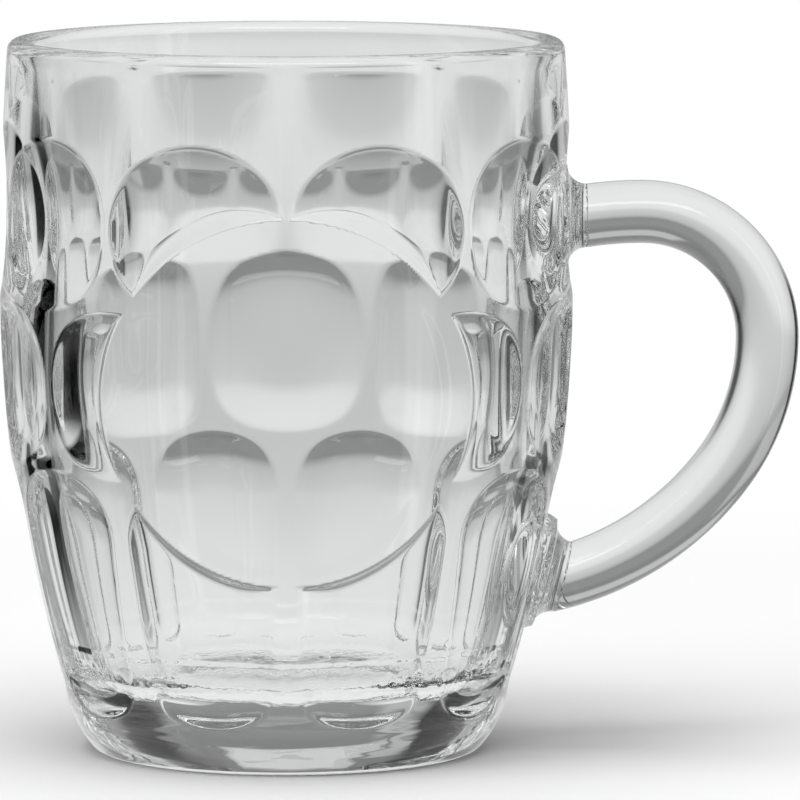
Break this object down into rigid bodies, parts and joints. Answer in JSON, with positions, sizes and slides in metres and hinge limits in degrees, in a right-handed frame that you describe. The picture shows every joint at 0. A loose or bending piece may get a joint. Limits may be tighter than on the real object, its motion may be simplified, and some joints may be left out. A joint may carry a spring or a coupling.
{
  "type": "dimpled glass beer mug",
  "caption": "Clear pressed-glass beer mug with rows of dimples over long flutes, a plain round boss on the front and a thick looped glass handle.",
  "frame": {"origin": "the mug's axis on the plane of the foot's rim, so the mug stands on Z = 0", "axes": "+Z is the mug's axis, upwards; +X points to the handle; -Y is the side with the round boss"},
  "size_m": [0.1401, 0.1004, 0.125],
  "materials": {
    "body_glass": "clear fire-polished soda-lime glass",
    "handle_glass": "clear fire-polished soda-lime glass"
  },
  "bodies": {
    "root": {"mug_body": "body_glass", "handle": "handle_glass"}
  },
  "joints": []
}
